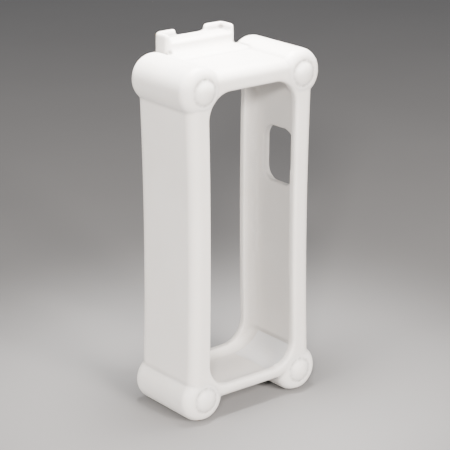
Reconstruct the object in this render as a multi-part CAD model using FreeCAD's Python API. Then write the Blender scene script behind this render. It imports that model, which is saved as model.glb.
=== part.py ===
import FreeCAD, Part
import math
import os

# Protective bumper boot for a pocket-size dental apex locator, in millimetres.
# +X is to the right seen from the front, +Y to the back and +Z up.  The boot stands on its
# two lower corner rolls, and the origin is in the middle of its footprint, on the ground.
# Sizes in Y are given from the middle of the sleeve's depth; the last step moves every solid
# forward, so that the middle of the footprint, hanger included, comes to the origin.

# ---------------------------------------------------------------- driving dimensions

# corner rolls: soft bumpers that lie along Y, one on each corner
ROLL_RADIUS = 8.4
ROLL_HALF_LENGTH = 15.9
ROLL_END_ROUND = 3.7
ROLL_SPACING_X = 42.8
ROLL_SPACING_Z = 110.0

# sleeve: the four walls round the instrument, with lips turned in at front and back
SLEEVE_HALF_DEPTH = 15.6
SLEEVE_BOTTOM_Z = 6.6
SLEEVE_TOP_Z = 124.1
SLEEVE_HALF_WIDTH_END = 27.3
SLEEVE_HALF_WIDTH_WAIST = 26.0
SLEEVE_CORNER_ROUND = 5.0
SLEEVE_EDGE_ROUND = 3.8
SIDE_WALL = 3.2
TOP_WALL = 3.0
BOTTOM_WALL = 2.4
LIP_THICKNESS = 3.0
CAVITY_EDGE_ROUND = 3.0

# front and rear openings between the lips
OPENING_BOTTOM_Z = 11.4
OPENING_TOP_Z = 116.95
OPENING_HALF_WIDTH_END = 19.0
OPENING_HALF_WIDTH_WAIST = 18.3
OPENING_CORNER_ROUND = 9.0
LIP_EDGE_ROUND = 1.2

# corner pads: hollow-faced fillings in the four inner corners
PAD_WIDTH = 12.4
PAD_HEIGHT = 6.9
PAD_HOLLOW = 1.6
PAD_SEAM = 0.5
PAD_HALF_LENGTH = 9.4

# window in the right wall
WINDOW_FRONT_Y = -8.5
WINDOW_REAR_Y = 7.4
WINDOW_BOTTOM_Z = 75.2
WINDOW_TOP_Z = 95.7
WINDOW_CORNER_ROUND = 5.0
WINDOW_EDGE_ROUND = 0.5

# buttons: domed plugs pressed into both ends of each roll
BUTTON_RADIUS = 4.2
BUTTON_HEIGHT = 1.6
BUTTON_STEM_RADIUS = 1.8
BUTTON_GROOVE_RADIUS = 0.4
END_DISC_RADIUS = 5.9
END_DISC_THICKNESS = 1.8

# corner pegs: one on each pad, through the mitred wall ends into the roll
PEG_RADIUS = 1.6
PEG_START_BEHIND_AXIS = 0.5
PEG_REACH_TOP = 7.2
PEG_REACH_BOTTOM = 5.6

# hanger: block with a foot plate on the back of the top wall; a low rim runs round the ends and
# back of its top, with a gap in the middle of the back
HANGER_HALF_WIDTH = 14.9
HANGER_FRONT_Y = 13.2
HANGER_BACK_Y = 21.0
HANGER_TOP_Z = 131.6
HANGER_APRON_Z = 117.6
HANGER_END_ROUND = 1.7
HANGER_RIM = 1.6
HANGER_RIM_ROUND = 0.6
HANGER_SEAT_Z = 129.2
HANGER_SEAT_EDGE_ROUND = 1.3
GAP_HALF_WIDTH = 6.2
FOOT_FRONT_Y = 5.4
FOOT_HALF_WIDTH = 15.0
FOOT_THICKNESS = 0.9
FOOT_FRONT_EDGE = 0.1
FOOT_SINK = 0.5
FOOT_FILLET = 2.6
HANGER_PEG_RADIUS = 1.5
HANGER_PEG_SPACING = 17.0
HANGER_PEG_DEPTH = 2.0

# ---------------------------------------------------------------- derived places

BOTTOM_AXIS_Z = ROLL_RADIUS
TOP_AXIS_Z = ROLL_RADIUS + ROLL_SPACING_Z
AXIS_X = ROLL_SPACING_X / 2
WAIST_Z = (BOTTOM_AXIS_Z + TOP_AXIS_Z) / 2
CAVITY_HALF_DEPTH = SLEEVE_HALF_DEPTH - LIP_THICKNESS
CAVITY_BOTTOM_Z = SLEEVE_BOTTOM_Z + BOTTOM_WALL
CAVITY_TOP_Z = SLEEVE_TOP_Z - TOP_WALL
CAVITY_HALF_WIDTH_END = SLEEVE_HALF_WIDTH_END - SIDE_WALL
CAVITY_HALF_WIDTH_WAIST = SLEEVE_HALF_WIDTH_WAIST - SIDE_WALL
FOOTPRINT_MIDDLE_Y = (HANGER_BACK_Y - ROLL_HALF_LENGTH - BUTTON_HEIGHT) / 2
FAR = 100.0                      # size of cutting tools that reach right past the model
PAST = 1.0                       # how far a cutting tool runs past the face it opens
NEAR = 1e-3                      # tolerance when edges are picked by place

LEVELS = {"bottom": (BOTTOM_AXIS_Z, 1), "top": (TOP_AXIS_Z, -1)}     # axis height, way inwards
FACES = {"front": -1, "rear": 1}                                     # sign of Y


# ---------------------------------------------------------------- helpers

def point(x, z, y=0.0):
    """A point given in the XZ plane, at depth y."""
    return FreeCAD.Vector(x, y, z)


def flipped(place):
    """The same place on the left side."""
    return FreeCAD.Vector(-place.x, place.y, place.z)


def line(start, end):
    return Part.LineSegment(start, end).toShape()


def arc(start, middle, end):
    return Part.Arc(start, middle, end).toShape()


def along_y(edges, half_depth):
    """Solid from a closed outline in the XZ plane, from -half_depth to half_depth in Y."""
    face = Part.Face(Part.Wire(edges))
    face.translate(FreeCAD.Vector(0, -half_depth, 0))
    return face.extrude(FreeCAD.Vector(0, 2 * half_depth, 0))


def edges_where(shape, test):
    """Edges of the shape whose bounding box passes the test."""
    return [edge for edge in shape.Edges if test(edge.BoundBox)]


def rim_edges(shape, depth):
    """Edges that lie wholly in the plane y = depth."""
    return edges_where(shape, lambda box: abs(box.YMin - depth) < NEAR and abs(box.YMax - depth) < NEAR)


def depth_edges(shape):
    """Straight edges that run along Y only."""
    return edges_where(shape, lambda box: box.XLength < NEAR and box.ZLength < NEAR)


def cylinder_y(radius, x, z, y_start, y_end):
    length = y_end - y_start
    return Part.makeCylinder(radius, length, FreeCAD.Vector(x, y_start, z), FreeCAD.Vector(0, 1, 0))


def waisted_outline(half_end, half_waist, bottom, top):
    """Rectangle whose long sides bow inwards to half_waist at the waist."""
    low_left, low_right = point(-half_end, bottom), point(half_end, bottom)
    top_left, top_right = point(-half_end, top), point(half_end, top)
    return [
        line(low_left, low_right),
        arc(low_right, point(half_waist, WAIST_Z), top_right),
        line(top_right, top_left),
        arc(top_left, point(-half_waist, WAIST_Z), low_left),
    ]


def only_solid(shape):
    """The one solid that a boolean operation should have left."""
    solids = shape.removeSplitter().Solids
    assert len(solids) == 1, f"expected one solid, found {len(solids)}"
    return solids[0]


# ---------------------------------------------------------------- sleeve and pads

def sleeve_block():
    """Outer form of the sleeve as a full block, with its corners and long edges rounded."""
    outline = waisted_outline(
        SLEEVE_HALF_WIDTH_END, SLEEVE_HALF_WIDTH_WAIST, SLEEVE_BOTTOM_Z, SLEEVE_TOP_Z)
    block = along_y(outline, SLEEVE_HALF_DEPTH)
    block = block.makeFillet(SLEEVE_CORNER_ROUND, depth_edges(block))
    rims = rim_edges(block, -SLEEVE_HALF_DEPTH) + rim_edges(block, SLEEVE_HALF_DEPTH)
    return block.makeFillet(SLEEVE_EDGE_ROUND, rims)


def wall_x(z):
    """Half width of the cavity at height z, on the bowed inner face of a side wall."""
    rise = (CAVITY_TOP_Z - CAVITY_BOTTOM_Z) / 2
    bow = CAVITY_HALF_WIDTH_END - CAVITY_HALF_WIDTH_WAIST
    return CAVITY_HALF_WIDTH_WAIST + bow * ((z - WAIST_Z) / rise) ** 2


def pad_corners(level):
    """Where a pad's hollow face meets the side wall and the floor or ceiling, and its middle."""
    base = CAVITY_BOTTOM_Z if level == "bottom" else CAVITY_TOP_Z
    inwards = LEVELS[level][1]
    wall_end = point(wall_x(base + inwards * PAD_HEIGHT), base + inwards * PAD_HEIGHT)
    base_end = point(CAVITY_HALF_WIDTH_END - PAD_WIDTH, base)
    chord = base_end - wall_end
    hollow = FreeCAD.Vector(abs(chord.z), 0, -inwards * abs(chord.x))
    middle = (wall_end + base_end) * 0.5 + hollow.normalize() * PAD_HOLLOW
    return wall_end, middle, base_end


def cavity():
    """Space for the instrument, with the pads' hollow faces across its corners."""
    low_wall, low_middle, low_base = pad_corners("bottom")
    top_wall, top_middle, top_base = pad_corners("top")
    outline = [
        line(flipped(low_base), low_base),
        arc(low_base, low_middle, low_wall),
        arc(low_wall, point(CAVITY_HALF_WIDTH_WAIST, WAIST_Z), top_wall),
        arc(top_wall, top_middle, top_base),
        line(top_base, flipped(top_base)),
        arc(flipped(top_base), flipped(top_middle), flipped(top_wall)),
        arc(flipped(top_wall), point(-CAVITY_HALF_WIDTH_WAIST, WAIST_Z), flipped(low_wall)),
        arc(flipped(low_wall), flipped(low_middle), flipped(low_base)),
    ]
    space = along_y(outline, CAVITY_HALF_DEPTH)
    rims = rim_edges(space, -CAVITY_HALF_DEPTH) + rim_edges(space, CAVITY_HALF_DEPTH)
    return space.makeFillet(CAVITY_EDGE_ROUND, rims)


def opening():
    """Through opening between the front lips and between the rear lips."""
    outline = waisted_outline(
        OPENING_HALF_WIDTH_END, OPENING_HALF_WIDTH_WAIST, OPENING_BOTTOM_Z, OPENING_TOP_Z)
    window = along_y(outline, SLEEVE_HALF_DEPTH + PAST)
    return window.makeFillet(OPENING_CORNER_ROUND, depth_edges(window))


def opening_rims(shape, depth):
    """Edges of the opening in the plane y = depth, inside the sleeve's own outline."""
    def inside(box):
        in_width = max(-box.XMin, box.XMax) < OPENING_HALF_WIDTH_END + NEAR
        in_height = box.ZMin > OPENING_BOTTOM_Z - NEAR and box.ZMax < OPENING_TOP_Z + NEAR
        return in_width and in_height

    return [edge for edge in rim_edges(shape, depth) if inside(edge.BoundBox)]


def sleeve():
    """The four walls and four pads as one body, before they are parted."""
    body = sleeve_block().cut(cavity()).cut(opening())
    rims = opening_rims(body, -SLEEVE_HALF_DEPTH) + opening_rims(body, SLEEVE_HALF_DEPTH)
    return body.makeFillet(LIP_EDGE_ROUND, rims)


# ---------------------------------------------------------------- parting the sleeve

def polygon_y(corners, half_depth):
    """Prism along Y from the corners of a polygon in the XZ plane."""
    closed = corners + corners[:1]
    edges = [line(start, end) for start, end in zip(closed, closed[1:])]
    return along_y(edges, half_depth)


def mitre_wedge(level):
    """Wedge that holds the top or bottom wall: its sides run through the roll axes at 45 degrees."""
    axis_z, inwards = LEVELS[level]
    apex = point(0, axis_z + inwards * AXIS_X)
    outer_z = apex.z - inwards * FAR
    return polygon_y([apex, point(FAR, outer_z), point(-FAR, outer_z)], FAR)


def pad_region(level):
    """Corner region that belongs to a pad, short of the rounding along the cavity's front and rear."""
    wall_end, _, base_end = pad_corners(level)
    corner = point(wall_x(base_end.z), base_end.z)
    return polygon_y([base_end, corner, wall_end], PAD_HALF_LENGTH)


def pad_seam(level):
    """Fine groove along the line where a pad's face leaves the side wall."""
    wall_end = pad_corners(level)[0]
    seam_z = wall_end.z - LEVELS[level][1] * PAD_SEAM
    return cylinder_y(PAD_SEAM, wall_end.x, seam_z, -PAD_HALF_LENGTH - PAST, PAD_HALF_LENGTH + PAST)


def corner_peg(level):
    """Round peg through the mitre joint, from inside the pad to inside the roll."""
    axis_z, inwards = LEVELS[level]
    outwards = FreeCAD.Vector(1, 0, -inwards)
    outwards.normalize()
    start = point(AXIS_X, axis_z) - outwards * PEG_START_BEHIND_AXIS
    reach = PEG_REACH_TOP if level == "top" else PEG_REACH_BOTTOM
    return Part.makeCylinder(PEG_RADIUS, reach + PEG_START_BEHIND_AXIS, start, outwards)


# ---------------------------------------------------------------- rolls and buttons

def end_disc(level, face):
    """Flat disc at a roll's end, let into the face of the sleeve."""
    sign = FACES[face]
    inner_y = sign * (SLEEVE_HALF_DEPTH - END_DISC_THICKNESS)
    outer_y = sign * (ROLL_HALF_LENGTH + PAST)
    x = AXIS_X
    return cylinder_y(END_DISC_RADIUS, x, LEVELS[level][0], min(inner_y, outer_y), max(inner_y, outer_y))


def button_stem(level, face):
    """Stem of a button, through the roll's end disc and the sleeve's lip."""
    sign = FACES[face]
    inner_y = sign * CAVITY_HALF_DEPTH
    outer_y = sign * ROLL_HALF_LENGTH
    x = AXIS_X
    return cylinder_y(BUTTON_STEM_RADIUS, x, LEVELS[level][0], min(inner_y, outer_y), max(inner_y, outer_y))


def roll_form(level):
    """Whole roll with rounded ends and a ring groove round each button, before it is cut to fit."""
    x, z = AXIS_X, LEVELS[level][0]
    form = cylinder_y(ROLL_RADIUS, x, z, -ROLL_HALF_LENGTH, ROLL_HALF_LENGTH)
    rims = rim_edges(form, -ROLL_HALF_LENGTH) + rim_edges(form, ROLL_HALF_LENGTH)
    form = form.makeFillet(ROLL_END_ROUND, rims)
    assert BUTTON_RADIUS + BUTTON_GROOVE_RADIUS < ROLL_RADIUS - ROLL_END_ROUND, "groove leaves the flat end"
    for sign in FACES.values():
        centre = point(x, z, sign * ROLL_HALF_LENGTH)
        ring = Part.makeTorus(BUTTON_RADIUS, BUTTON_GROOVE_RADIUS, centre, FreeCAD.Vector(0, 1, 0))
        form = form.cut(ring)
    return form


def button(level, face):
    """Domed button with its stem."""
    x, z = AXIS_X, LEVELS[level][0]
    sign = FACES[face]
    ball_radius = (BUTTON_RADIUS ** 2 + BUTTON_HEIGHT ** 2) / (2 * BUTTON_HEIGHT)
    centre_y = sign * (ROLL_HALF_LENGTH + BUTTON_HEIGHT - ball_radius)
    ball = Part.makeSphere(ball_radius, point(x, z, centre_y))
    base_y = sign * ROLL_HALF_LENGTH
    outside = cylinder_y(BUTTON_RADIUS + PAST, x, z, min(base_y, sign * FAR), max(base_y, sign * FAR))
    dome = ball.common(outside)
    return dome.fuse(button_stem(level, face))


# ---------------------------------------------------------------- hanger

def foot_profile():
    """Foot plate and the hollow fillet up the upright, in the YZ plane, as one closed wire at x = 0."""
    base_z, plate_z = SLEEVE_TOP_Z - FOOT_SINK, SLEEVE_TOP_Z + FOOT_THICKNESS
    slope_y = FOOT_FRONT_Y + 2 * FOOT_THICKNESS
    fillet_y, fillet_z = HANGER_FRONT_Y - FOOT_FILLET, plate_z + FOOT_FILLET
    inset = FOOT_FILLET * (1 - math.sqrt(0.5))
    front_low = point(0, base_z, FOOT_FRONT_Y)
    front_high = point(0, SLEEVE_TOP_Z + FOOT_FRONT_EDGE, FOOT_FRONT_Y)
    plate_start, plate_end = point(0, plate_z, slope_y), point(0, plate_z, fillet_y)
    fillet_middle = point(0, plate_z + inset, HANGER_FRONT_Y - inset)
    face_high, face_low = point(0, fillet_z, HANGER_FRONT_Y), point(0, base_z, HANGER_FRONT_Y)
    return Part.Wire([
        line(front_low, front_high),
        line(front_high, plate_start),
        line(plate_start, plate_end),
        arc(plate_end, fillet_middle, face_high),
        line(face_high, face_low),
        line(face_low, front_low),
    ])


def foot():
    """Foot plate between the rolls, with its fillet only as wide as the upright's flat face."""
    face = Part.Face(foot_profile())
    face.translate(FreeCAD.Vector(-FOOT_HALF_WIDTH, 0, 0))
    slab = face.extrude(FreeCAD.Vector(2 * FOOT_HALF_WIDTH, 0, 0))
    fillet_half_width = HANGER_HALF_WIDTH - HANGER_END_ROUND
    plate_z = SLEEVE_TOP_Z + FOOT_THICKNESS
    for x in (-fillet_half_width - FAR, fillet_half_width):
        slab = slab.cut(Part.makeBox(FAR, 2 * FAR, FAR, point(x, plate_z, -FAR)))
    return slab


def upright():
    """Block behind the foot plate and the apron below it, with the rimmed seat on top."""
    depth = HANGER_BACK_Y - HANGER_FRONT_Y
    height = HANGER_TOP_Z - HANGER_APRON_Z
    corner = point(-HANGER_HALF_WIDTH, HANGER_APRON_Z, HANGER_FRONT_Y)
    body = Part.makeBox(2 * HANGER_HALF_WIDTH, depth, height, corner)
    ends = edges_where(body, lambda box: box.XLength < NEAR and box.YLength < NEAR)
    body = body.makeFillet(HANGER_END_ROUND, ends)

    seat_half_width = HANGER_HALF_WIDTH - HANGER_RIM
    seat_corner = point(-seat_half_width, HANGER_SEAT_Z, HANGER_BACK_Y - HANGER_RIM - FAR)
    body = body.cut(Part.makeBox(2 * seat_half_width, FAR, FAR, seat_corner))
    gap_corner = point(-GAP_HALF_WIDTH, HANGER_SEAT_Z, 0)
    body = body.cut(Part.makeBox(2 * GAP_HALF_WIDTH, FAR, FAR, gap_corner))

    def on_seat_front(box):
        return box.YMax < HANGER_FRONT_Y + NEAR and abs(box.ZMin - HANGER_SEAT_Z) + box.ZLength < NEAR

    body = body.makeFillet(HANGER_SEAT_EDGE_ROUND, edges_where(body, on_seat_front))
    rim_top = edges_where(body, lambda box: box.ZMin > HANGER_TOP_Z - NEAR)
    return body.makeFillet(HANGER_RIM_ROUND, rim_top)


def hanger(block, rolls):
    """Upright and foot plate in one piece, fitted to the sleeve and pegged into the top wall."""
    body = upright().fuse(foot()).cut(block)
    for roll in rolls:
        body = body.cut(roll)
    for x in (-HANGER_PEG_SPACING / 2, HANGER_PEG_SPACING / 2):
        body = body.fuse(hanger_peg(x))
    return only_solid(body)


def hanger_peg(x):
    """Short peg under the foot plate, in a blind hole in the top wall."""
    peg_y = (FOOT_FRONT_Y + HANGER_FRONT_Y) / 2
    height = HANGER_PEG_DEPTH + FOOT_THICKNESS / 2
    return Part.makeCylinder(HANGER_PEG_RADIUS, height, point(x, SLEEVE_TOP_Z - HANGER_PEG_DEPTH, peg_y))


# ---------------------------------------------------------------- window

def side_window():
    """Rounded window through the right wall."""
    depth = WINDOW_REAR_Y - WINDOW_FRONT_Y
    height = WINDOW_TOP_Z - WINDOW_BOTTOM_Z
    start = point(CAVITY_HALF_WIDTH_WAIST - PAST, WINDOW_BOTTOM_Z, WINDOW_FRONT_Y)
    box = Part.makeBox(FAR, depth, height, start)
    corners = edges_where(box, lambda edge: edge.YLength < NEAR and edge.ZLength < NEAR)
    return box.makeFillet(WINDOW_CORNER_ROUND, corners)


def window_rims(wall):
    """Edges of the window on the wall's inner and outer face."""
    def inside(box):
        in_depth = box.YMin > WINDOW_FRONT_Y - NEAR and box.YMax < WINDOW_REAR_Y + NEAR
        in_height = box.ZMin > WINDOW_BOTTOM_Z - NEAR and box.ZMax < WINDOW_TOP_Z + NEAR
        return in_depth and in_height and box.XLength < SIDE_WALL / 2

    return edges_where(wall, inside)


# ---------------------------------------------------------------- build

def mirrored(solid):
    """The same solid on the left side."""
    return solid.mirror(FreeCAD.Vector(0, 0, 0), FreeCAD.Vector(1, 0, 0))


def both_sides(parts, name, solid):
    """Add a right-hand solid and its mirror image; name has {side} in it."""
    parts[name.format(side="right")] = solid
    parts[name.format(side="left")] = mirrored(solid)


def build_parts():
    """Every node's solid, by name.  The boot is symmetric but for its window and is made on the right."""
    block = sleeve_block()
    right_half = Part.makeBox(FAR, 2 * FAR, 2 * FAR, point(0, -FAR / 2, -FAR))
    body = sleeve().common(right_half)
    parts = {}

    pegs = {level: corner_peg(level) for level in LEVELS}
    ends = [(level, face) for level in LEVELS for face in FACES]
    stems = {end: button_stem(*end) for end in ends}
    discs = {end: end_disc(*end) for end in ends}

    # pads come out of the sleeve's corners, and each carries its peg
    for level in LEVELS:
        pad = body.common(pad_region(level)).cut(pad_seam(level))
        pad = only_solid(pad.fuse(pegs[level]))
        both_sides(parts, level + "_{side}_corner_pad", pad)
        body = body.cut(pad_region(level))

    # seats in the walls for the rolls' end discs, the button stems and the pegs
    for tool in list(discs.values()) + list(stems.values()) + list(pegs.values()):
        body = body.cut(tool)

    # the four walls meet in mitres that the rolls and pads cover
    wedges = {level: mitre_wedge(level) for level in LEVELS}
    for level, wedge in wedges.items():
        half = body.common(wedge)
        parts[level + "_wall"] = only_solid(half.fuse(mirrored(half)))
    right_wall = only_solid(body.cut(wedges["top"]).cut(wedges["bottom"]))
    parts["left_wall"] = mirrored(right_wall)
    right_wall = right_wall.cut(side_window())
    parts["right_wall"] = only_solid(right_wall.makeFillet(WINDOW_EDGE_ROUND, window_rims(right_wall)))

    # rolls wrap the sleeve's corners from outside
    for level in LEVELS:
        form = roll_form(level)
        roll = form.cut(block)
        for face in FACES:
            roll = roll.fuse(form.common(discs[level, face]))
        for face in FACES:
            roll = roll.cut(stems[level, face])
        both_sides(parts, level + "_{side}_roll", only_solid(roll.cut(pegs[level])))

    for level, face in ends:
        both_sides(parts, level + "_{side}_" + face + "_button", only_solid(button(level, face)))

    top_rolls = [roll_form("top"), mirrored(roll_form("top"))]
    parts["hanger"] = hanger(block, top_rolls)
    for x in (-HANGER_PEG_SPACING / 2, HANGER_PEG_SPACING / 2):
        parts["top_wall"] = only_solid(parts["top_wall"].cut(hanger_peg(x)))
    return parts


os.makedirs("parts", exist_ok=True)
for name, solid in build_parts().items():
    solid.translate(point(0, 0, -FOOTPRINT_MIDDLE_Y))
    solid.exportStep(f"parts/{name}.step")
    print(f"{name:28s} volume {solid.Volume:9.1f} mm3  valid {solid.isValid()}")
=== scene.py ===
import math

import bmesh
import bpy
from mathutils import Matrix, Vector


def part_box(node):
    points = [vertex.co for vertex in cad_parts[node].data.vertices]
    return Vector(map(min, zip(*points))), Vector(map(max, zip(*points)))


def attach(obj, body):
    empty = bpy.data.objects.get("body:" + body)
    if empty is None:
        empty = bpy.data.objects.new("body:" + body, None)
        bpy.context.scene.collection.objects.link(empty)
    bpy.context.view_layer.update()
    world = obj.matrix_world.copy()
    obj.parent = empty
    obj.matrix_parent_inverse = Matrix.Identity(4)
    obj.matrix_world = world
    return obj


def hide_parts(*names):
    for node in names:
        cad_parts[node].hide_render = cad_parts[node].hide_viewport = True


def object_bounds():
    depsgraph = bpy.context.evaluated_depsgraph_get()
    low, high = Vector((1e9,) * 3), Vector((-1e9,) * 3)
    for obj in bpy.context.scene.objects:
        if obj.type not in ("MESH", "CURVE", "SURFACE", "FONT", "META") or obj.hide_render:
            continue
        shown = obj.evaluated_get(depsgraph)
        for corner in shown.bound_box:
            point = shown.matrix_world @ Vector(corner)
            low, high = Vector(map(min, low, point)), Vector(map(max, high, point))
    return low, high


# Soft white protective boot, standing on its two lower corner rolls.  Each CAD node gets a moulded
# look-alike: the same form with its edges softened, as on a silicone moulding.

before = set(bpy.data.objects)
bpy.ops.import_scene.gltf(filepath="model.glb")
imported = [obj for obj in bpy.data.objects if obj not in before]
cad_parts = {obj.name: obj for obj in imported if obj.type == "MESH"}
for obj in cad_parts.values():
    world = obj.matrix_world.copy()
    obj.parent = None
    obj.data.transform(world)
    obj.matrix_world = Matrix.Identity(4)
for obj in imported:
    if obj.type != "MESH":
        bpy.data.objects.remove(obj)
cad_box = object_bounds()

MM = 0.001

# ---------------------------------------------------------------- camera
WALL_LOW, WALL_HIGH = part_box("left_wall")
TARGET_HEIGHT = 63.9 * MM
CAMERA_TARGET = Vector((0, (WALL_LOW.y + WALL_HIGH.y) / 2, TARGET_HEIGHT))
CAMERA_AZIMUTH = -38.55
CAMERA_ELEVATION = 19.0
CAMERA_DISTANCE = 0.6072
CAMERA_LENS = 138.52             # in mm, on a sensor this wide
SENSOR_WIDTH = 36.0
NEAREST_SEEN = 0.01
CAMERA_SHIFT_X = -0.0018
CAMERA_SHIFT_Y = 0.0012

# ---------------------------------------------------------------- moulding
VOXEL = 0.40 * MM
SOFTENING = 4                    # smoothing passes, which round a sharp edge to about 0.7 mm
SMOOTH_FACTOR = 0.5
SHARP = math.radians(40)         # an edge that turns by more than this is shaded sharp
SKIN = 0.06 * MM                 # how far a region's cutter stands off the surface it follows
HANGER_MARGIN = 1.0 * MM         # room left before, behind, above and below the hanger
BUTTON_MARGIN = 1.0 * MM         # room left round a button when it is parted from its roll
RIM_DEPTH = 3.2 * MM             # how far down the hanger its rounder rim reaches
RIM_SOFTENING = 24
FAR = 0.3                        # reaches past the whole model

# thickness of the walls under the pads
SIDE_WALL = 3.2 * MM
TOP_WALL = 3.0 * MM
BOTTOM_WALL = 2.4 * MM

WALLS = ("left_wall", "right_wall", "top_wall", "bottom_wall")
LEVELS = {"bottom": 1, "top": -1}        # way inwards along Z
SIDES = {"left": -1, "right": 1}         # sign of X
FACES = {"front": -1, "rear": 1}         # sign of Y


# ---------------------------------------------------------------- materials
CLOUD_SCALE = 55.0               # noise scales are in cells per metre
CLOUD_RANGE = (0.32, 0.68)
SMEAR_SCALE = 160.0
SMEAR_GLOSSIER = 0.06            # how far smears take the roughness down and up
SMEAR_DULLER = 0.07
GRAIN_SCALE = 2600.0
GRAIN_STRENGTH = 0.35
# painted shade: a dark colour laid into creases, seams and ring grooves where shade falls
PAINTED_SHADE_REACH = 1.4 * MM          # how far from a crease its painted shade reaches
PAINTED_SHADE_RAYS = 16
PAINTED_SHADE_CLOSED = 0.85             # share of open sky at which the painted crease shade is darkest
PAINTED_SHADE_OPEN = 0.98               # share of open sky at which it ends
PAINTED_SHADE_DEPTH = 0.95
PAINTED_SHADE_COLOUR = (0.12, 0.11, 0.10)


def add(nodes, kind, **values):
    """New shader node with its input sockets set by name."""
    node = nodes.new(kind)
    for name, value in values.items():
        node.inputs[name.replace("_", " ")].default_value = value
    return node


def colour_input(mix, name):
    """The colour socket of that name on a Mix node, which has one for each data type."""
    return next(s for s in mix.inputs if s.name == name and s.type == "RGBA")


def colour_output(mix):
    """The colour result of a Mix node."""
    return next(s for s in mix.outputs if s.type == "RGBA")


def silicone(name, light, shaded, roughness, grain_height):
    """Soft white elastomer: faint cloudy colour, painted shade in its creases, satin gloss that varies,
    and a fine moulded grain.
    """
    material = bpy.data.materials.new(name)
    material.use_nodes = True
    nodes, links = material.node_tree.nodes, material.node_tree.links
    shader = nodes["Principled BSDF"]
    place = nodes.new("ShaderNodeTexCoord")

    clouds = add(nodes, "ShaderNodeTexNoise", Scale=CLOUD_SCALE, Detail=4.0, Roughness=0.55)
    links.new(place.outputs["Object"], clouds.inputs["Vector"])
    tint = nodes.new("ShaderNodeValToRGB")
    tint.color_ramp.elements[0].position = CLOUD_RANGE[0]
    tint.color_ramp.elements[0].color = (*shaded, 1)
    tint.color_ramp.elements[1].position = CLOUD_RANGE[1]
    tint.color_ramp.elements[1].color = (*light, 1)
    links.new(clouds.outputs["Fac"], tint.inputs["Fac"])

    # painted shade: darker in creases, seams and ring grooves, and near the floor, wherever ambient
    # occlusion finds little open sky
    open_sky = nodes.new("ShaderNodeAmbientOcclusion")
    open_sky.samples = PAINTED_SHADE_RAYS
    open_sky.inputs["Distance"].default_value = PAINTED_SHADE_REACH
    crease_shade_amount = add(nodes, "ShaderNodeMapRange", From_Min=PAINTED_SHADE_CLOSED, From_Max=PAINTED_SHADE_OPEN,
                 To_Min=PAINTED_SHADE_DEPTH, To_Max=0.0)
    links.new(open_sky.outputs["AO"], crease_shade_amount.inputs["Value"])
    painted_crease_shade = nodes.new("ShaderNodeMix")
    painted_crease_shade.data_type = "RGBA"
    colour_input(painted_crease_shade, "B").default_value = (*PAINTED_SHADE_COLOUR, 1)
    links.new(crease_shade_amount.outputs["Result"], painted_crease_shade.inputs[0])
    links.new(tint.outputs["Color"], colour_input(painted_crease_shade, "A"))
    links.new(colour_output(painted_crease_shade), shader.inputs["Base Color"])

    smears = add(nodes, "ShaderNodeTexNoise", Scale=SMEAR_SCALE, Detail=3.0, Roughness=0.6)
    links.new(place.outputs["Object"], smears.inputs["Vector"])
    gloss = nodes.new("ShaderNodeMapRange")
    gloss.inputs["To Min"].default_value = roughness - SMEAR_GLOSSIER
    gloss.inputs["To Max"].default_value = roughness + SMEAR_DULLER
    links.new(smears.outputs["Fac"], gloss.inputs["Value"])
    links.new(gloss.outputs["Result"], shader.inputs["Roughness"])

    grain = add(nodes, "ShaderNodeTexNoise", Scale=GRAIN_SCALE, Detail=2.0, Roughness=0.5)
    links.new(place.outputs["Object"], grain.inputs["Vector"])
    bump = nodes.new("ShaderNodeBump")
    bump.inputs["Strength"].default_value = GRAIN_STRENGTH
    bump.inputs["Distance"].default_value = grain_height
    links.new(grain.outputs["Fac"], bump.inputs["Height"])
    links.new(bump.outputs["Normal"], shader.inputs["Normal"])

    shader.inputs["Subsurface Weight"].default_value = 0.25
    shader.inputs["Subsurface Radius"].default_value = (1.0, 0.9, 0.8)
    shader.inputs["Subsurface Scale"].default_value = 1.2 * MM
    shader.inputs["Specular IOR Level"].default_value = 0.42
    shader.inputs["Sheen Weight"].default_value = 0.05
    return material


BOOT = silicone("boot_silicone", (0.800, 0.785, 0.765), (0.765, 0.745, 0.722), 0.50, 0.03 * MM)
BUMPER = silicone("bumper_silicone", (0.835, 0.822, 0.802), (0.800, 0.784, 0.762), 0.42, 0.02 * MM)
# painted light: the pads are the boot's own silicone, painted paler and bluer for the light that falls
# on their hollow faces
PAINTED_PALER_PAD = silicone("pad_silicone_painted_paler", (0.885, 0.890, 0.905), (0.865, 0.870, 0.885), 0.36, 0.01 * MM)


# ---------------------------------------------------------------- mesh helpers

def new_object(name, mesh):
    """Object from a bmesh, which is freed."""
    data = bpy.data.meshes.new(name)
    mesh.to_mesh(data)
    mesh.free()
    made = bpy.data.objects.new(name, data)
    bpy.context.scene.collection.objects.link(made)
    return made


def convex(name, points):
    """Closed convex solid round these points."""
    mesh = bmesh.new()
    for place in points:
        mesh.verts.new(place)
    hull = bmesh.ops.convex_hull(mesh, input=mesh.verts)
    inner = set(hull["geom_interior"]) | set(hull["geom_unused"])
    bmesh.ops.delete(mesh, geom=[v for v in inner if isinstance(v, bmesh.types.BMVert)], context="VERTS")
    bmesh.ops.triangulate(mesh, faces=mesh.faces)
    return new_object(name, mesh)


def block(low, high):
    """Box-shaped cutter between two corners."""
    return convex("cutter", [(x, y, z) for x in (low[0], high[0]) for y in (low[1], high[1])
                             for z in (low[2], high[2])])


def apply_modifiers(piece):
    """Give the piece the mesh that its modifiers make, and drop them."""
    graph = bpy.context.evaluated_depsgraph_get()
    data = bpy.data.meshes.new_from_object(piece.evaluated_get(graph))
    piece.modifiers.clear()
    piece.data = data


def soften(piece, passes, group=""):
    """Smooth the whole piece, or one vertex group of it, after any modifiers that it already has."""
    smooth = piece.modifiers.new("smooth", "SMOOTH")
    smooth.factor = SMOOTH_FACTOR
    smooth.iterations = passes
    smooth.vertex_group = group
    apply_modifiers(piece)


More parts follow.
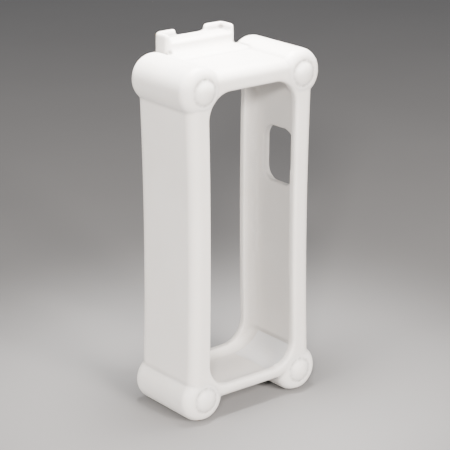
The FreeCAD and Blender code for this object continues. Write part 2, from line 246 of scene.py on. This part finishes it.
def cut(source, cutter, operation, name):
    """New object: the source inside the cutter (INTERSECT) or outside it (DIFFERENCE)."""
    piece = bpy.data.objects.new(name, source.data.copy())
    bpy.context.scene.collection.objects.link(piece)
    boolean = piece.modifiers.new("cut", "BOOLEAN")
    boolean.operation = operation
    boolean.solver = "MANIFOLD"
    boolean.object = cutter
    apply_modifiers(piece)
    return piece


def part(source, cutter, name):
    """The source's share inside the cutter, and the rest.  The source and the cutter are used up."""
    inside = cut(source, cutter, "INTERSECT", name)
    outside = cut(source, cutter, "DIFFERENCE", "rest")
    bpy.data.objects.remove(source)
    bpy.data.objects.remove(cutter)
    return inside, outside


# ---------------------------------------------------------------- the moulding and its pieces

def moulding():
    """All CAD solids as one skin, with outer edges rounded and inner creases filled a little."""
    mesh = bmesh.new()
    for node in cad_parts.values():
        mesh.from_mesh(node.data)
    whole = new_object("moulding", mesh)
    remesh = whole.modifiers.new("remesh", "REMESH")
    remesh.mode = "VOXEL"
    remesh.voxel_size = VOXEL
    soften(whole, SOFTENING)
    return whole


def roll_axis(level, side):
    """X and Z of a roll's axis, from the button in its front end."""
    low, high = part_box(f"{level}_{side}_front_button")
    middle = (low + high) / 2
    return middle.x, middle.z


def sleeve_region():
    """Hull of the four walls, a skin's thickness larger."""
    corners = []
    for wall in WALLS:
        corners += [v.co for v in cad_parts[wall].data.vertices]
    middle = (cad_box[0] + cad_box[1]) / 2
    hull = convex("cutter", corners)
    for v in hull.data.vertices:
        away = v.co - middle
        v.co += Vector([math.copysign(SKIN, reach) for reach in away])
    return hull


def mitre_region(level):
    """Wedge whose sides run through the two roll axes at 45 degrees."""
    axis_x, axis_z = roll_axis(level, "right")
    apex_z = axis_z + LEVELS[level] * axis_x
    outer_z = apex_z - LEVELS[level] * FAR
    return convex("cutter", [(x, y, z) for y in (-FAR, FAR)
                             for x, z in ((0, apex_z), (FAR, outer_z), (-FAR, outer_z))])


def pad_region(level, side):
    """Corner of the cavity that a pad fills, from its inner ends to the walls it lies on."""
    low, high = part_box(f"{level}_{side}_corner_pad")
    inner_x = high.x if side == "left" else low.x
    inner_z = high.z if level == "bottom" else low.z
    wall_low, wall_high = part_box(side + "_wall")
    outer_x = wall_low.x + SIDE_WALL if side == "left" else wall_high.x - SIDE_WALL
    outer_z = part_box("bottom_wall")[0].z + BOTTOM_WALL
    if level == "top":
        outer_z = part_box("top_wall")[1].z - TOP_WALL
    return block((min(inner_x, outer_x), low.y, min(inner_z, outer_z)),
                 (max(inner_x, outer_x), high.y, max(inner_z, outer_z)))


def hanger_region():
    """Space above and behind the top wall, between the two top rolls."""
    low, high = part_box("hanger")
    return block((low.x - SKIN, low.y - HANGER_MARGIN, low.z - HANGER_MARGIN),
                 (high.x + SKIN, high.y + HANGER_MARGIN, high.z + HANGER_MARGIN))


def round_rim(hanger):
    """Extra softening of the thin rim on top of the hanger."""
    rim_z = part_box("hanger")[1].z - RIM_DEPTH
    rim = hanger.vertex_groups.new(name="rim")
    rim.add([v.index for v in hanger.data.vertices if v.co.z > rim_z], 1.0, "REPLACE")
    soften(hanger, RIM_SOFTENING, rim.name)
    hanger.vertex_groups.clear()


def button_region(level, side, face):
    """Space in front of a roll's flat end, or behind it, just wide enough for its button."""
    roll_low, roll_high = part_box(f"{level}_{side}_roll")
    low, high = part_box(f"{level}_{side}_{face}_button")
    base = roll_low.y - SKIN if face == "front" else roll_high.y + SKIN
    tip = FACES[face] * FAR
    return block((low.x - BUTTON_MARGIN, min(base, tip), low.z - BUTTON_MARGIN),
                 (high.x + BUTTON_MARGIN, max(base, tip), high.z + BUTTON_MARGIN))


def finish_piece(piece, node, material):
    """Name, finish and shading of a piece, and the CAD node that it stands for."""
    piece.name = "soft_" + node
    piece.data.materials.clear()
    piece.data.materials.append(material)
    piece.data.shade_smooth()
    piece.data.set_sharp_from_angle(angle=SHARP)
    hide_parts(node)
    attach(piece, "root")


def bumper_pieces(rest):
    """Hanger, rolls and buttons from what stands outside the sleeve."""
    piece, rest = part(rest, hanger_region(), "hanger")
    round_rim(piece)
    finish_piece(piece, "hanger", BUMPER)
    middle_z = (cad_box[0].z + cad_box[1].z) / 2
    for level, inwards in LEVELS.items():
        for side, sign in SIDES.items():
            low = (min(0, sign * FAR), -FAR, min(middle_z, middle_z - inwards * FAR))
            high = (max(0, sign * FAR), FAR, max(middle_z, middle_z - inwards * FAR))
            roll, rest = part(rest, block(low, high), "roll")
            for face in FACES:
                button, roll = part(roll, button_region(level, side, face), "button")
                finish_piece(button, f"{level}_{side}_{face}_button", BUMPER)
            finish_piece(roll, f"{level}_{side}_roll", BUMPER)
    bpy.data.objects.remove(rest)


def sleeve_pieces(sleeve):
    """Pads and walls from the sleeve."""
    for level in LEVELS:
        for side in SIDES:
            pad, sleeve = part(sleeve, pad_region(level, side), "pad")
            finish_piece(pad, f"{level}_{side}_corner_pad", PAINTED_PALER_PAD)
    for level in LEVELS:
        wall, sleeve = part(sleeve, mitre_region(level), "wall")
        finish_piece(wall, level + "_wall", BOOT)
    left, right = part(sleeve, block((-FAR, -FAR, -FAR), (0, FAR, FAR)), "wall")
    finish_piece(left, "left_wall", BOOT)
    finish_piece(right, "right_wall", BOOT)


sleeve, outside = part(moulding(), sleeve_region(), "sleeve")
bumper_pieces(outside)
sleeve_pieces(sleeve)


# ---------------------------------------------------------------- floor, light, camera

FLOOR_HALF_SIZE = 1.5
FLOOR_SCALE = 8.0
FLOOR_DARKER = (0.26, 0.26, 0.265)
FLOOR_PALER = (0.29, 0.29, 0.295)
FLOOR_ROUGHNESS = 0.9
SKY_COLOUR = (0.86, 0.92, 1.0)
SKY_STRENGTH = 0.20
OPEN_LAMP = 180                  # spread of a lamp with nothing round it, in degrees


def floor():
    """Plain pale surface that the boot stands on."""
    mesh = bmesh.new()
    corners = [mesh.verts.new((x * FLOOR_HALF_SIZE, y * FLOOR_HALF_SIZE, 0))
               for x, y in ((-1, -1), (1, -1), (1, 1), (-1, 1))]
    mesh.faces.new(corners)
    plane = new_object("floor", mesh)
    material = bpy.data.materials.new("floor_pale")
    material.use_nodes = True
    nodes, links = material.node_tree.nodes, material.node_tree.links
    shader = nodes["Principled BSDF"]
    place = nodes.new("ShaderNodeTexCoord")
    paper = add(nodes, "ShaderNodeTexNoise", Scale=FLOOR_SCALE, Detail=3.0)
    tint = nodes.new("ShaderNodeValToRGB")
    tint.color_ramp.elements[0].color = (*FLOOR_DARKER, 1)
    tint.color_ramp.elements[1].color = (*FLOOR_PALER, 1)
    links.new(place.outputs["Object"], paper.inputs["Vector"])
    links.new(paper.outputs["Fac"], tint.inputs["Fac"])
    links.new(tint.outputs["Color"], shader.inputs["Base Color"])
    shader.inputs["Roughness"].default_value = FLOOR_ROUGHNESS
    plane.data.materials.append(material)


def direction(azimuth, elevation):
    """Unit vector from the object; azimuth 0 is the front and positive is to the right, in degrees."""
    turn, rise = math.radians(azimuth), math.radians(elevation)
    return Vector((math.sin(turn) * math.cos(rise), -math.cos(turn) * math.cos(rise), math.sin(rise)))


def soft_light(name, azimuth, elevation, distance, size, spread, watts, colour):
    """Round lamp that faces the boot; it isn't seen itself, so it never stands in a view."""
    lamp = bpy.data.lights.new(name, "AREA")
    lamp.shape = "DISK"
    lamp.size = size
    lamp.spread = math.radians(spread)
    lamp.energy = watts
    lamp.color = colour
    light = bpy.data.objects.new(name, lamp)
    away = direction(azimuth, elevation)
    light.location = CAMERA_TARGET + away * distance
    light.rotation_euler = (-away).to_track_quat("-Z", "Y").to_euler()
    light.visible_camera = False
    bpy.context.scene.collection.objects.link(light)


def camera():
    """Long lens, from the front left and a little above."""
    data = bpy.data.cameras.new("camera")
    data.lens = CAMERA_LENS
    data.sensor_width = SENSOR_WIDTH
    data.shift_x = CAMERA_SHIFT_X
    data.shift_y = CAMERA_SHIFT_Y
    data.clip_start = NEAREST_SEEN
    eye = bpy.data.objects.new("camera", data)
    away = direction(CAMERA_AZIMUTH, CAMERA_ELEVATION)
    eye.location = CAMERA_TARGET + away * CAMERA_DISTANCE
    eye.rotation_euler = (-away).to_track_quat("-Z", "Y").to_euler()
    bpy.context.scene.collection.objects.link(eye)
    bpy.context.scene.camera = eye


def surroundings():
    """Faint cool light from all round."""
    world = bpy.data.worlds.new("studio")
    world.use_nodes = True
    sky = world.node_tree.nodes["Background"]
    sky.inputs["Color"].default_value = (*SKY_COLOUR, 1)
    sky.inputs["Strength"].default_value = SKY_STRENGTH
    bpy.context.scene.world = world


floor()
soft_light("flash", azimuth=-42, elevation=25, distance=0.75, size=0.08, spread=OPEN_LAMP,
           watts=5.2, colour=(1.0, 0.93, 0.86))
soft_light("left", azimuth=-90, elevation=15, distance=0.80, size=0.40, spread=OPEN_LAMP,
           watts=6.6, colour=(1.0, 0.935, 0.87))
soft_light("front", azimuth=0, elevation=20, distance=0.80, size=0.30, spread=OPEN_LAMP,
           watts=14, colour=(1.0, 0.92, 0.85))
soft_light("overhead", azimuth=0, elevation=90, distance=0.16, size=0.07, spread=70,
           watts=0.3, colour=(1.0, 0.96, 0.92))
camera()
surroundings()
